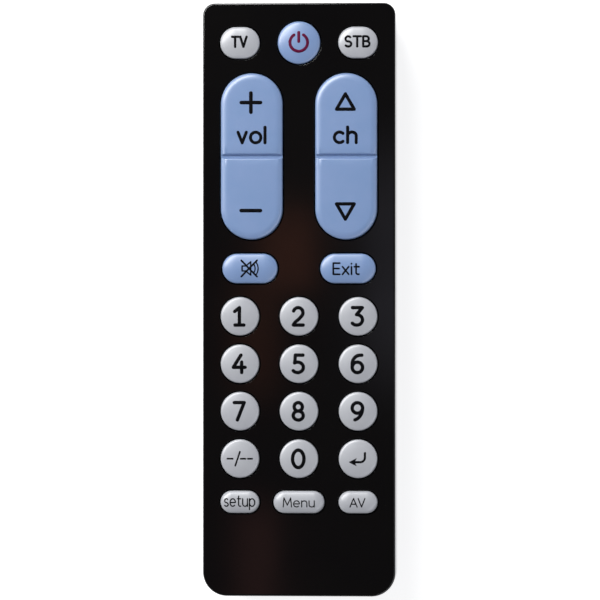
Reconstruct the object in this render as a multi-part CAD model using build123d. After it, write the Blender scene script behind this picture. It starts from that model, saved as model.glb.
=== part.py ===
from build123d import *
import math
import os

# A hand-held remote control lying on its back. X runs across it, Y towards the
# infrared nose, Z up through the keys. The origin is under the middle of the back.

# Body
body_width = 48.0
body_length = 147.6
nose_corner = 3.0  # plan radius of the two corners beside the infrared window
tail_corner = 6.0
wall = 1.8
ceiling = 1.8  # thickness of the key face
face_edge = 0.7  # bevel round the key face
belly_inset = 0.9  # the lower casing draws in gently at first
belly_share = 0.4  # height of that first change, as a share of the parting height
back_inset = 3.6  # and then to the flat back
nose_lift = 3.0  # the back curves up towards the nose
lift_from_door = 20.0  # from the door's inner edge to where that curve begins
joint_gap = 0.1  # between the casings' lip and wall
overrun = 1.0  # how far each cut runs past its face

# Keys: the gaps between them, and their sizes as shares of a digit key or a rocker
side_margin = 4.5  # from the side of the body to the outer keys
column_gap = 5.1
rocker_margin = 4.55
rocker_gap = 8.1  # between the two rockers
mute_margin = 4.9
nose_margin = 4.6  # from the nose to the power key
power_to_rocker = 2.3
rocker_to_mute = 3.5
mute_to_digits = 3.4
digit_gap = 2.2
digits_to_menu = 3.2
tail_margin = 20.7  # from the last row to the tail
power_share = 1.104  # of a digit key
source_width_share = 1.026
source_height_share = 0.818
small_width_share = 1.01
small_height_share = 0.578
menu_width_share = 1.323
mute_width_share = 0.896  # of a rocker's width
mute_height_share = 0.48
key_proud = 1.4  # how far the keys stand above the face
key_clearance = 0.35  # between a key and the edge of its opening
key_travel = 0.95
stop_gap = 0.06  # left under a key that is pressed home
rocker_tilt = 2.5  # degrees that a rocker tips each way
groove_width = 1.0  # the groove across the middle of a rocker
groove_depth = 0.7
nub_size = 4.0  # the two studs under a rocker
nub_share = 0.314  # their distance from its middle, as a share of its length

# Battery bay, two cells side by side
cell_diameter = 10.5
cell_length = 44.5
cell_nub_diameter = 3.8
cell_nub_height = 0.8
cell_clearance = 0.35
cell_pitch = 11.6
leaf_room = 4.6  # what the leaf at a cell's flat end takes up
contact_gap = 0.05
contact_sheet = 0.4
contact_width = 7.0
tab_width = 2.4
tab_slack = 0.1
bay_wall = 1.2
bay_roof = 0.9
bay_from_tail = 13.8  # from the tail to the bay's inner end
divider_width = 1.0

# Battery door, a plate that slides off at the tail
door_thickness = 1.6
door_recess = 0.1  # the door stands back from the rest plane
door_slack = 0.1
door_margin = 4.4  # from the edge of the flat back to the door's side
door_reach = 2.0  # how far the door passes the bay's inner end
tongue_width = 0.9
tongue_thickness = 0.8
tray = 1.2  # the sheet of casing that the door slides under
grip_bars = 6
grip_width = 14.0
grip_pitch = 1.6
grip_depth = 0.5
grip_bar = 0.8
tongue_stop = 6.0  # the tongues end short of the door's inner edge

# Board and keypad mat
board_rest = 0.3  # ribs that carry the board over the bay
board = 1.2
board_edge = 1.0  # from the board's edge to the casing
mat = 1.0
mat_edge = 0.2  # the mat stands back from the board's edge
clamp_rib = 1.2  # height of the ribs under the key face that hold the mat down
rib_width = 0.8
cross_bar = 2.4  # bar of the mat that a rocker tips on
rest_gap = 0.12  # between a rocker at rest and that bar
notch = 3.0  # notches in the board's sides that locate it
notch_depth = 1.2
notch_slack = 0.1
pillar = 2.4

# Lip and snaps between the casings
lip = 0.8
lip_height = 1.2
snap_length = 5.0
snap_depth = 0.3
snap_height = 0.5
snap_slack = 0.05

# Infrared window and emitter
window_width = 18.0
window_height = 5.0
window_slack = 0.1
window_flange = 1.7
window_flange_thickness = 1.0
emitter_width = 4.4
emitter_depth = 2.6
emitter_height = 4.2
emitter_lens = 2.2

# Casing screw, under the door
screw_from_tail = 7.0
screw_head = 3.2
screw_head_height = 1.2
screw_shank = 1.6
screw_length = 8.0
screw_tip_room = 0.6
screw_boss = 6.0
screw_slack = 0.1

# Parts on the underside of the board
chip_length = 12.8
chip_width = 7.5
chip_height = 2.3
chip_stand = 0.1
chip_pins = 8  # on each long side
chip_pitch = 1.27
pin_width = 0.45
pin_thickness = 0.25
resonator_length = 8.0
resonator_width = 3.0
resonator_height = 3.0
capacitor_length = 7.3
capacitor_width = 4.3
capacitor_height = 2.8
transistor_length = 2.9
transistor_width = 1.3
transistor_height = 1.0
resistor_length = 1.6
resistor_width = 0.8
resistor_height = 0.5
resistor_count = 4
parts_from_bay = 12.5  # from the bay's inner wall to the resonator

# Heights that follow, from the back up
door_top = door_recess + door_thickness
tray_under = door_top + door_slack
tray_top = tray_under + tray
cell_radius = cell_diameter / 2
cell_axis = door_top + cell_clearance + cell_radius
bay_ceiling = cell_axis + cell_radius + cell_clearance
bay_top = bay_ceiling + bay_roof
parting = cell_axis + wall
board_under = bay_top + board_rest
board_top = board_under + board
mat_top = board_top + mat
ceiling_under = mat_top + clamp_rib
face = ceiling_under + ceiling
key_top = face + key_proud
key_under = board_top + key_travel + stop_gap
rocker_under = mat_top + rest_gap

# Places along and across that follow
half_width = body_width / 2
half_length = body_length / 2
inner_half_width = half_width - wall
inner_half_length = half_length - wall
digit_key = (body_width - 2 * side_margin - 2 * column_gap) / 3
power_key = digit_key * power_share
source_key_width = digit_key * source_width_share
source_key_height = digit_key * source_height_share
small_key_width = digit_key * small_width_share
small_key_height = digit_key * small_height_share
menu_key_width = digit_key * menu_width_share
rocker_width = (body_width - 2 * rocker_margin - rocker_gap) / 2
mute_key_width = rocker_width * mute_width_share
mute_key_height = rocker_width * mute_height_share
digit_pitch = digit_key + digit_gap
menu_y = -half_length + tail_margin + small_key_height / 2
zero_y = menu_y + small_key_height / 2 + digits_to_menu + digit_key / 2
digit_y = zero_y + 3 * digit_pitch
mute_y = digit_y + digit_key / 2 + mute_to_digits + mute_key_height / 2
power_y = half_length - nose_margin - power_key / 2
rocker_low = mute_y + mute_key_height / 2 + rocker_to_mute
rocker_length = power_y - power_key / 2 - power_to_rocker - rocker_low
rocker_y = rocker_low + rocker_length / 2
nub_offset = rocker_length * nub_share
column = half_width - side_margin - digit_key / 2
rocker_x = half_width - rocker_margin - rocker_width / 2
mute_x = half_width - mute_margin - mute_key_width / 2
between_columns = column / 2
bay_end = -half_length + bay_from_tail
bay_start = bay_end + cell_length + leaf_room + 2 * contact_sheet + 2 * contact_gap
bay_half_width = cell_pitch / 2 + cell_radius + cell_clearance
door_half_width = half_width - back_inset - door_margin
parts_y = bay_start + bay_wall + parts_from_bay + resonator_length / 2
door_end = bay_start + door_reach
lift_start = door_end + lift_from_door
board_half_width = inner_half_width - board_edge
board_nose = inner_half_length - window_flange_thickness - 2 * window_slack - rib_width
board_tail = menu_y - small_key_height / 2 - pillar - board_edge
screw_y = -half_length + screw_from_tail
notch_rows = [rocker_y, zero_y]
pillar_x = board_half_width - pillar
pillar_rows = [power_y, (rocker_y + mute_y) / 2, digit_y]
emitter_tip = board_nose + rib_width - window_slack


def key_table():
    """Every key's node name with its centre, width and height."""
    keys = {
        "key_tv": (-column, power_y, source_key_width, source_key_height),
        "key_power": (0, power_y, power_key, power_key),
        "key_box": (column, power_y, source_key_width, source_key_height),
        "rocker_volume": (-rocker_x, rocker_y, rocker_width, rocker_length),
        "rocker_channel": (rocker_x, rocker_y, rocker_width, rocker_length),
        "key_mute": (-mute_x, mute_y, mute_key_width, mute_key_height),
        "key_exit": (mute_x, mute_y, mute_key_width, mute_key_height),
        "key_setup": (-column, menu_y, small_key_width, small_key_height),
        "key_menu": (0, menu_y, menu_key_width, small_key_height),
        "key_av": (column, menu_y, small_key_width, small_key_height),
    }
    digits = ["1", "2", "3", "4", "5", "6", "7", "8", "9", "dash", "0", "return"]
    for place, digit in enumerate(digits):
        across = (place % 3 - 1) * column
        along = digit_y - place // 3 * digit_pitch
        keys["key_" + digit] = (across, along, digit_key, digit_key)
    return keys


def block(x_low, x_high, y_low, y_high, z_low, z_high):
    """A box between three pairs of limits."""
    size = Box(x_high - x_low, y_high - y_low, z_high - z_low)
    return Pos((x_low + x_high) / 2, (y_low + y_high) / 2, (z_low + z_high) / 2) * size


def post(x, y, diameter, z_low, z_high):
    """An upright cylinder."""
    return Pos(x, y, (z_low + z_high) / 2) * Cylinder(diameter / 2, z_high - z_low)


def pill(width, height):
    """A key's outline: a circle, or a bar with full round ends."""
    if width == height:
        return Circle(width / 2)
    if width > height:
        return SlotOverall(width, height)
    return SlotOverall(height, width, rotation=90)


def body_outline(inset, nose_radius, tail_radius):
    """The body seen from above, drawn in by inset."""
    outline = Rectangle(body_width - 2 * inset, body_length - 2 * inset)
    outline = fillet(outline.vertices().group_by(Axis.Y)[-1], nose_radius)
    return fillet(outline.vertices().group_by(Axis.Y)[0], tail_radius)


def upper_form(inset, top):
    """The straight-sided block above the parting line."""
    outline = body_outline(inset, nose_corner - inset / 2, tail_corner - inset)
    return extrude(Pos(0, 0, parting) * outline, top - parting)


def lower_form(inset):
    """The block below the parting line, drawn in twice to the flat back."""
    levels = [
        (parting, inset, nose_corner, tail_corner),
        (parting * belly_share, inset + belly_inset, nose_corner, tail_corner),
        (0, inset + back_inset, nose_corner, tail_corner),
    ]
    sections = [Pos(0, 0, z) * body_outline(drawn, nose, tail) for z, drawn, nose, tail in levels]
    form = loft(sections, ruled=True)
    reach = half_length - lift_start
    radius = (reach**2 + nose_lift**2) / (2 * nose_lift)
    under = Pos(0, lift_start, radius + inset) * Rot(0, 90, 0) * Cylinder(radius, body_width)
    below = block(-half_width, half_width, lift_start, half_length, -overrun, parting * belly_share)
    return form - (below - under)


def key_openings(grow, low, high):
    """Prisms through the key face, one for each key."""
    return [
        extrude(Pos(x, y, low) * pill(width + 2 * grow, height + 2 * grow), high - low)
        for x, y, width, height in key_table().values()
    ]


def snap_places():
    """Three snaps along each long side."""
    return [(side, y) for side in (-1, 1) for y in (power_y, mute_y, menu_y)]


def snap(side, y, grow, reach):
    """A short bar on the lip's outer side, or the slot for it."""
    middle = parting + lip_height / 2
    outer = side * (inner_half_width - joint_gap + reach)
    inner = side * (inner_half_width - joint_gap - lip / 2)
    half = snap_length / 2 + grow
    rise = snap_height / 2 + grow
    return block(min(outer, inner), max(outer, inner), y - half, y + half, middle - rise, middle + rise)


def notch_places():
    """Where ribs of the casing's side walls stand in the board's notches."""
    return [(side, y) for side in (-1, 1) for y in notch_rows]


def notch_block(side, y, grow, z_low, z_high):
    """A locating rib on the side wall, or the notch for it in the board and mat."""
    inner = side * (board_half_width - notch_depth + notch_slack - grow)
    outer = side * (inner_half_width + wall / 2)
    half = notch / 2 - notch_slack + grow
    return block(min(inner, outer), max(inner, outer), y - half, y + half, z_low, z_high)


def screw_low():
    """The underside of the screw's head, in its recess in the tray."""
    return tray_top - screw_head_height / 2


def screw_top():
    """The tip of the screw."""
    return screw_low() + screw_head_height + screw_length


def upper_casing():
    """The moulded cover with the key openings, clamp ribs, locating ribs and screw boss."""
    form = upper_form(0, face)
    form = chamfer(form.edges().group_by(Axis.Z)[-1], face_edge)
    casing = form - upper_form(wall, ceiling_under)
    for opening in key_openings(key_clearance, ceiling_under - overrun, key_top):
        casing -= opening

    top = ceiling_under + ceiling / 2
    edge = board_half_width - mat_edge - rib_width
    ribs = [(side * edge, board_tail, board_nose - pillar) for side in (-1, 1)]
    ribs += [
        (x, zero_y - digit_key / 2, digit_y + digit_key / 2) for x in (-between_columns, between_columns)
    ]
    ribs += [(0, rocker_y - rocker_length / 2, rocker_y + rocker_length / 2)]
    for x, low, high in ribs:
        casing += block(x - rib_width / 2, x + rib_width / 2, low, high, mat_top, top)
    for side, y in notch_places():
        casing += notch_block(side, y, 0, board_under - board_rest, top)

    casing += post(0, screw_y, screw_boss, parting + joint_gap, top)
    casing -= post(0, screw_y, screw_shank + joint_gap, parting, screw_top() + screw_tip_room)
    half = window_width / 2
    casing -= block(-half, half, inner_half_length - overrun, half_length + overrun, parting - overrun,
                    parting + window_height)
    for side, y in snap_places():
        casing -= snap(side, y, snap_slack, joint_gap + snap_depth + snap_slack)
    return casing


def tab_slots(z_low, z_high):
    """Slots for the two solder tabs, through the bay's roof or the board."""
    half = tab_width / 2 + tab_slack
    return [
        block(x - half, x + half, bay_start - contact_sheet - tab_slack, bay_start + tab_slack, z_low, z_high)
        for x in (-cell_pitch / 2, cell_pitch / 2)
    ]


def bay_space(z_low):
    """The room for the two cells, round over their outer sides."""
    radius = cell_radius + cell_clearance
    section = Rectangle(2 * bay_half_width, bay_ceiling - z_low)
    section = fillet(section.vertices().group_by(Axis.Y)[-1], radius)
    middle = Plane.XZ.offset(-bay_start) * Pos(0, (bay_ceiling + z_low) / 2)
    return extrude(middle * section, bay_start - bay_end)


def door_plate(grow):
    """The door's plate with its two tongues, or the slide way that it runs in."""
    half = door_half_width + grow
    top = door_top + grow
    plate = block(-half, half, -half_length - overrun, door_end + grow, -overrun, top)
    middle = door_recess + door_thickness / 2
    rise = tongue_thickness / 2 + grow
    reach = half + tongue_width
    stop = door_end - tongue_stop
    return plate + block(-reach, reach, -half_length - overrun, stop, middle - rise, middle + rise)


def lower_casing():
    """The moulded tub with the battery bay, lip, pillars and screw post."""
    outer = lower_form(0)
    above_floor = block(-half_width, half_width, -half_length, half_length, wall, parting)
    casing = outer - (lower_form(wall) & above_floor)
    rails = door_half_width + tongue_width + wall
    casing += outer & block(-rails, rails, -half_length, door_end + wall, 0, tray_top)
    bay = bay_half_width + bay_wall
    casing += block(-bay, bay, bay_end - bay_wall, bay_start + bay_wall, tray_under, bay_top)
    for y in (bay_end, (bay_end + bay_start) / 2, bay_start):
        casing += block(-bay, bay, y - rib_width / 2, y + rib_width / 2, bay_top - bay_roof / 2, board_under)
    room = outer + block(-half_width, half_width, -half_length, half_length, parting, board_under)
    for y in pillar_rows:
        for side in (-1, 1):
            low = side * pillar_x - pillar / 2
            casing += room & block(low, low + pillar, y - pillar / 2, y + pillar / 2, 0, board_under)
    stay_x = window_width / 2 + window_flange - rib_width
    for x in (-stay_x, stay_x):
        casing += room & block(x - rib_width / 2, x + rib_width / 2, board_nose, board_nose + rib_width, 0,
                               parting + window_height / 2)
    tower = screw_boss / 2
    casing += block(-tower, tower, screw_y - tower, screw_y + tower, tray_under, parting - joint_gap)

    ring = body_outline(wall + joint_gap, nose_corner - wall / 2, tail_corner - wall)
    ring -= body_outline(wall + joint_gap + lip, nose_corner - wall / 2, tail_corner - wall - lip)
    foot = parting - lip
    lip_wall = extrude(Pos(0, 0, foot) * ring, lip + lip_height)
    clear = window_width / 2 + window_flange + window_slack
    lip_top = parting + lip_height
    lip_wall -= block(-clear, clear, board_nose, half_length, foot - overrun, lip_top + overrun)
    casing += lip_wall
    for side, y in snap_places():
        casing += snap(side, y, 0, snap_depth)

    casing -= door_plate(door_slack)
    casing -= bay_space(tray_under - overrun)
    casing += block(-divider_width / 2, divider_width / 2, bay_end + leaf_room, bay_start - leaf_room,
                    cell_axis + cell_radius / 2, bay_ceiling + bay_roof / 2)
    head_top = screw_low() + screw_head_height
    casing -= post(0, screw_y, screw_head + 2 * screw_slack, tray_under - overrun, head_top)
    casing -= post(0, screw_y, screw_shank + 2 * screw_slack, tray_under, parting + overrun)
    for slot in tab_slots(bay_ceiling - overrun, board_under + overrun):
        casing -= slot
    return casing


def battery_door():
    """The plate that closes the bay, cut to the casing's own outer form, with its grip bars."""
    door = door_plate(0) & lower_form(0)
    door -= block(-half_width, half_width, -half_length, half_length, -overrun, door_recess)
    half = grip_width / 2
    for bar in range(grip_bars):
        low = door_end - (bar + 2) * grip_pitch - grip_bar / 2
        door -= block(-half, half, low, low + grip_bar, 0, door_recess + grip_depth)
    return door


def key(width, height, under):
    """One silicone key, from its contact side up to its top."""
    return extrude(Pos(0, 0, under) * pill(width, height), key_top - under)


def rocker(width, height):
    """A long key with a groove across its middle and a stud under each end."""
    form = key(width, height, rocker_under)
    half = groove_width / 2
    form -= block(-width / 2, width / 2, -half, half, key_top - groove_depth, key_top + overrun)
    drop = (nub_offset + nub_size / 2) * math.sin(math.radians(rocker_tilt))
    nub_under = board_top + drop + stop_gap
    half = nub_size / 2
    for side in (-1, 1):
        low = side * nub_offset - half
        form += block(-half, half, low, low + nub_size, nub_under, rocker_under)
    return form


def keypad_mat():
    """The silicone sheet under the keys, open round each key where its thin web is."""
    half = board_half_width - mat_edge
    sheet = block(-half, half, board_tail + mat_edge, board_nose - mat_edge, board_top, mat_top)
    for name, (x, y, width, height) in key_table().items():
        across = width / 2 + key_clearance
        along = height / 2 + key_clearance
        if name.startswith("rocker"):
            half_bar = cross_bar / 2
            openings = [(y - along, y - half_bar), (y + half_bar, y + along)]
        else:
            openings = [(y - along, y + along)]
        for low, high in openings:
            sheet -= block(x - across, x + across, low, high, board_top - overrun, mat_top + overrun)
    for side, y in notch_places():
        sheet -= notch_block(side, y, notch_slack, board_top - overrun, mat_top + overrun)
    return sheet


def circuit_board():
    """The printed board with its side notches and contact slots."""
    sheet = block(-board_half_width, board_half_width, board_tail, board_nose, board_under, board_top)
    for side, y in notch_places():
        sheet -= notch_block(side, y, notch_slack, board_under - overrun, board_top + overrun)
    for slot in tab_slots(board_under - overrun, board_top + overrun):
        sheet -= slot
    return sheet


def ir_window():
    """The dark window in the nose, with a flange behind the wall."""
    half = window_width / 2 - window_slack
    low = parting + window_slack
    high = parting + window_height - window_slack
    pane = block(-half, half, inner_half_length - window_slack, half_length - wall / 4, low, high)
    wide = half + window_flange
    back = inner_half_length - window_slack - window_flange_thickness
    return pane + block(-wide, wide, back, inner_half_length - window_slack, low, high)


def ir_emitter():
    """The side-looking infrared emitter at the board's nose edge, with its round lens."""
    half = emitter_width / 2
    low = board_under - emitter_height
    body = block(-half, half, board_nose - emitter_depth, board_nose, low, board_under)
    reach = emitter_tip - board_nose
    lens = Rot(90, 0, 0) * Cylinder(emitter_lens / 2, reach)
    return body + Pos(0, board_nose + reach / 2, (parting + board_under) / 2) * lens


def under_board(x, y, width, length, height, stand=0):
    """A block hanging under the board, centred on a place."""
    top = board_under - stand
    return block(x - width / 2, x + width / 2, y - length / 2, y + length / 2, top - height, top)


def controller_chip():
    """The controller chip's body, between the rockers."""
    return under_board(0, rocker_y, chip_width, chip_length, chip_height, chip_stand)


def chip_leads():
    """The chip's legs along both long sides, from its middle height up to the board."""
    height = chip_stand + chip_height / 2
    legs = []
    for side in (-1, 1):
        x = side * (chip_width + pin_thickness) / 2
        for pin in range(chip_pins):
            y = rocker_y + (pin - (chip_pins - 1) / 2) * chip_pitch
            legs.append(under_board(x, y, pin_thickness, pin_width, height))
    return Compound(children=legs)


def resonator():
    """The small ceramic timing part beside the chip."""
    return under_board(column, parts_y, resonator_width, resonator_length, resonator_height)


def capacitor():
    """The storage capacitor for the emitter's pulses."""
    return under_board(-between_columns, power_y, capacitor_width, capacitor_length, capacitor_height)


def transistor():
    """The small transistor that drives the emitter."""
    return under_board(between_columns, power_y, transistor_length, transistor_width, transistor_height)


def chip_resistors():
    """A short row of surface resistors."""
    row = []
    for place in range(resistor_count):
        x = (place - (resistor_count - 1) / 2) * 2 * resistor_length
        row.append(under_board(x, parts_y, resistor_width, resistor_length, resistor_height))
    return Compound(children=row)


def cell(x, nub_side):
    """A small cell with its raised terminal towards the nose or the tail."""
    barrel = cell_length - cell_nub_height
    form = Cylinder(cell_radius, barrel)
    form += Pos(0, 0, cell_length / 2) * Cylinder(cell_nub_diameter / 2, cell_nub_height)
    if nub_side > 0:
        tip = bay_start - contact_sheet - contact_gap
        return Pos(x, tip - cell_nub_height - barrel / 2, cell_axis) * Rot(-90, 0, 0) * form
    tip = bay_end + contact_sheet + contact_gap
    return Pos(x, tip + cell_nub_height + barrel / 2, cell_axis) * Rot(90, 0, 0) * form


def contact_plate(x, y_low):
    """A flat stamped plate against the end wall of the bay."""
    return block(x - contact_width / 2, x + contact_width / 2, y_low, y_low + contact_sheet,
                 tray_top, cell_axis + contact_width / 2)


def contact_leaf(x, y_plate, direction):
    """A bowed leaf that presses on a cell's flat end, seen from the side as a bent strip."""
    reach = direction * leaf_room
    sheet = direction * contact_sheet
    line = [
        (y_plate, tray_top),
        (y_plate + reach, cell_axis),
        (y_plate + reach / 2, cell_axis + cell_radius / 2),
    ]
    back = [(y - sheet, z) for y, z in reversed(line)]
    strip = make_face(Polyline(line + back, close=True))
    return extrude(Plane.YZ.offset(x - contact_width / 4) * strip, contact_width / 2)


def solder_tab(x):
    """The tab that passes up through the bay's roof into the board."""
    return block(x - tab_width / 2, x + tab_width / 2, bay_start - contact_sheet, bay_start,
                 cell_axis, board_top - contact_gap)


def contact_positive():
    x = -cell_pitch / 2
    return contact_plate(x, bay_start - contact_sheet) + solder_tab(x)


def contact_negative():
    x = cell_pitch / 2
    y = bay_start - contact_sheet
    return contact_plate(x, y) + solder_tab(x) + contact_leaf(x, y, -1)


def contact_bridge():
    """The strip across the tail end that joins the two cells."""
    half = cell_pitch / 2 + contact_width / 2
    strip = block(-half, half, bay_end, bay_end + contact_sheet, tray_top, cell_axis + contact_width / 2)
    return strip + contact_leaf(-cell_pitch / 2, bay_end + contact_sheet, 1)


def casing_screw():
    """The one screw that pulls the casings together, under the door."""
    head = post(0, screw_y, screw_head, screw_low(), screw_low() + screw_head_height)
    return head + post(0, screw_y, screw_shank, screw_low(), screw_top())


parts = {
    "top_case": upper_casing(),
    "bottom_case": lower_casing(),
    "battery_door": battery_door(),
    "ir_window": ir_window(),
    "keypad_mat": keypad_mat(),
    "circuit_board": circuit_board(),
    "ir_emitter": ir_emitter(),
    "controller_chip": controller_chip(),
    "chip_leads": chip_leads(),
    "resonator": resonator(),
    "capacitor": capacitor(),
    "transistor": transistor(),
    "chip_resistors": chip_resistors(),
    "battery_left": cell(-cell_pitch / 2, 1),
    "battery_right": cell(cell_pitch / 2, -1),
    "contact_positive": contact_positive(),
    "contact_negative": contact_negative(),
    "contact_bridge": contact_bridge(),
    "case_screw": casing_screw(),
}
for name, (x, y, width, height) in key_table().items():
    form = rocker(width, height) if name.startswith("rocker") else key(width, height, key_under)
    parts[name] = Pos(x, y, 0) * form

os.makedirs("parts", exist_ok=True)
for name, solid in parts.items():
    export_step(solid, f"parts/{name}.step")
print("face height", round(face, 2), "key top", round(key_top, 2), "parts", len(parts))
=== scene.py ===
import math
import bmesh
import bpy
import numpy as np
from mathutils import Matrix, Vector
from mathutils.geometry import delaunay_2d_cdt


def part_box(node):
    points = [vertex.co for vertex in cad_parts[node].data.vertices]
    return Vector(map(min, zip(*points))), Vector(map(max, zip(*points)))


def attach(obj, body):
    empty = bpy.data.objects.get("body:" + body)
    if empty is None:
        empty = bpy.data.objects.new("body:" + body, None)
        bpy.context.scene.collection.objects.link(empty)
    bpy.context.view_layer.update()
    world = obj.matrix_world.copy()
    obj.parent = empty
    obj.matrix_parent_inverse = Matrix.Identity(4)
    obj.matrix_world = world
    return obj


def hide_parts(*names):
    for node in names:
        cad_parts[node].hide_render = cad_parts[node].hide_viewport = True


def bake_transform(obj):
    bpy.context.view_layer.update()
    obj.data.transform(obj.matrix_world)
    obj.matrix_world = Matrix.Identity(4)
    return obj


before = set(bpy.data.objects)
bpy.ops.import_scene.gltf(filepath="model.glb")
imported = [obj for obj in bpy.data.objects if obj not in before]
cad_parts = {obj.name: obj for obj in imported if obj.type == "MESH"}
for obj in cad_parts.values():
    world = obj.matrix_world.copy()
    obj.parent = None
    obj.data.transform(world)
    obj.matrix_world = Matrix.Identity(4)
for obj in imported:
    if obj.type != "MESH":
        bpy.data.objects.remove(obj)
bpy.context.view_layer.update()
millimetre = 0.001
print("frame loaded")


# sRGB hex to the linear values that shaders take
def linear(hexColour):
    channels = np.array([int(hexColour[i:i + 2], 16) for i in (1, 3, 5)]) / 255
    values = np.where(channels <= 0.04045, channels / 12.92, ((channels + 0.055) / 1.055) ** 2.4)
    return (*values.tolist(), 1.0)


# adds a node. settings holds its own properties and its sockets' values, links the outputs its sockets take
def addNode(tree, kind, settings=None, links=None):
    node = tree.nodes.new("ShaderNode" + kind)
    for name, value in (settings or {}).items():
        if isinstance(name, str) and hasattr(node, name):
            setattr(node, name, value)
        else:
            node.inputs[name].default_value = value
    for name, source in (links or {}).items():
        tree.links.new(source, node.inputs[name])
    return node


# an empty node tree for a material or a world
def emptyTree(owner):
    owner.use_nodes = True
    owner.node_tree.nodes.clear()
    return owner.node_tree


# noise with features of a size in millimetres
def noiseOf(tree, size, detail, place):
    settings = {"Scale": 1 / (size * millimetre), "Detail": detail}
    return addNode(tree, "TexNoise", settings, {"Vector": place}).outputs[0]


# a value mapped from the range start to end onto 0 to 1, or onto the range that the settings give
def mapped(tree, value, start, end, settings=None):
    settings = {**(settings or {}), "From Min": start, "From Max": end}
    return addNode(tree, "MapRange", settings, {"Value": value}).outputs[0]


# one or two outputs, or an output and a number, put through a mathematical operation
def reckoned(tree, operation, first, second=None, number=0.0):
    links = {0: first} if second is None else {0: first, 1: second}
    return addNode(tree, "Math", {"operation": operation, 1: number}, links).outputs[0]


# a share of one colour over another, which may be a node's output
def coloured(tree, share, under, over):
    settings, links = {"data_type": "RGBA", 7: over}, {0: share}
    (settings if isinstance(under, tuple) else links)[6] = under
    return addNode(tree, "Mix", settings, links).outputs[2]


# a finish's recipe: the shader's values; tint and polish, each the size of its patches in millimetres and the
# two colours or roughnesses that change over; and grains, each the size, height and strength of its bumps
def recipeOf(shader, tint, polish, *grain, stretch=None):
    return {"shader": shader, "tint": tint, "polish": polish, "grain": grain, "stretch": stretch}


def makeFinish(name, recipe):
    material = bpy.data.materials.new(name)
    tree = emptyTree(material)
    shader = addNode(tree, "BsdfPrincipled", recipe["shader"])
    addNode(tree, "OutputMaterial", links={"Surface": shader.outputs[0]})
    place = addNode(tree, "TexCoord").outputs["Object"]
    if recipe["stretch"]:  # draws the patterns out along one direction, as brushing and drawing do
        place = addNode(tree, "Mapping", {"Scale": recipe["stretch"]}, {"Vector": place}).outputs[0]
    spread = (0.3, 0.7)  # noise seldom leaves this range
    patch, low, high = recipe["tint"]
    share = mapped(tree, noiseOf(tree, patch, 4.0, place), *spread)
    tree.links.new(coloured(tree, share, linear(low), linear(high)), shader.inputs["Base Color"])
    patch, low, high = recipe["polish"]
    rough = mapped(tree, noiseOf(tree, patch, 5.0, place), *spread, {"To Min": low, "To Max": high})
    tree.links.new(rough, shader.inputs["Roughness"])
    normal = {}
    for size, height, strength in recipe["grain"]:
        bump = addNode(tree, "Bump", {"Strength": strength, "Distance": height * millimetre},
                       {"Height": noiseOf(tree, size, 2.0, place), **normal})
        normal = {"Normal": bump.outputs[0]}
    tree.links.new(normal["Normal"], shader.inputs["Normal"])
    return material


# the rubber of the keys and the ink on them: each comes in two colours
def coatedRubber(low, high, depth, radius):
    shader = {"IOR": 1.43, "Subsurface Weight": depth, "Subsurface Radius": radius,
              "Subsurface Scale": 0.0006, "Coat Weight": 1.0, "Coat Roughness": 0.3, "Coat IOR": 1.6}
    return recipeOf(shader, (6.0, low, high), (3.0, 0.42, 0.5), (0.18, 0.006, 0.35))


def printedInk(low, high, gloss):
    shader = {"IOR": 1.5, "Specular IOR Level": gloss}
    return recipeOf(shader, (1.5, low, high), (1.0, 0.5, 0.6), (0.12, 0.004, 0.3))


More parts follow.
